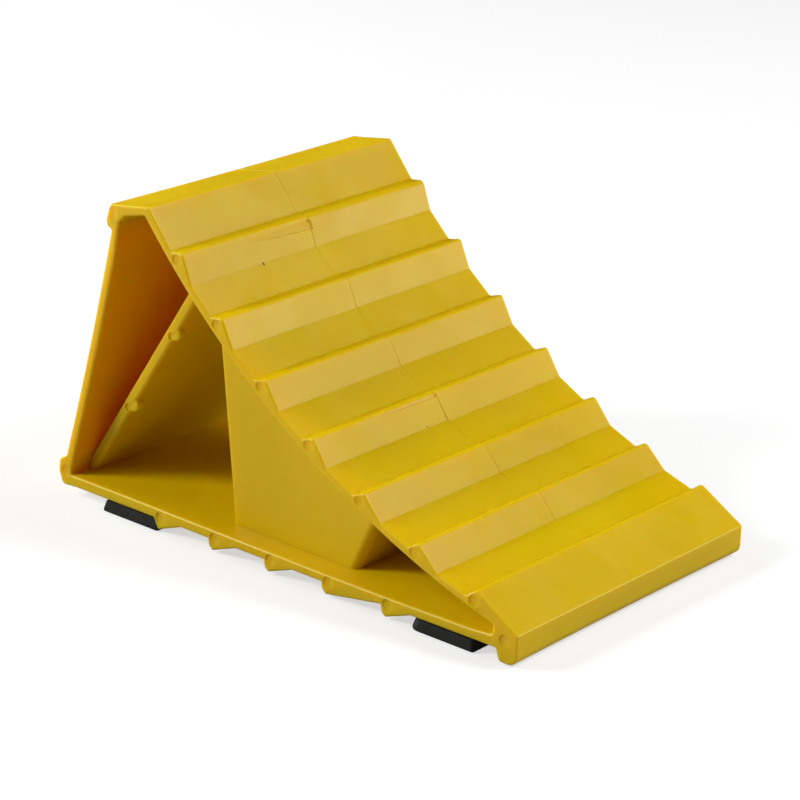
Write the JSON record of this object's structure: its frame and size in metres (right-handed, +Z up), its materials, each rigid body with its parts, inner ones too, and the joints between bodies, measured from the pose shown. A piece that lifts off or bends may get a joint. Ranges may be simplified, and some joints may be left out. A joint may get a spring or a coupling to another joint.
{
  "type": "wheel chock",
  "caption": "Open-sided moulded plastic wheel chock with a concave toothed tread, rear brace, hollow column and rubber ground pads.",
  "frame": {"origin": "on the floor, under the centre of the bounding box", "axes": "+X from the tall rear wall to the low nose, +Y across the width away from the closed side of the column, +Z up"},
  "size_m": [0.2007, 0.12, 0.1119],
  "materials": {
    "yellow_plastic": "semi-gloss moulded polypropylene, scuffed",
    "black_rubber": "matte"
  },
  "bodies": {
    "root": {"chock_body": "yellow_plastic", "pad_rear_near": "black_rubber", "pad_rear_far": "black_rubber", "pad_front_near": "black_rubber", "pad_front_far": "black_rubber"}
  },
  "joints": []
}
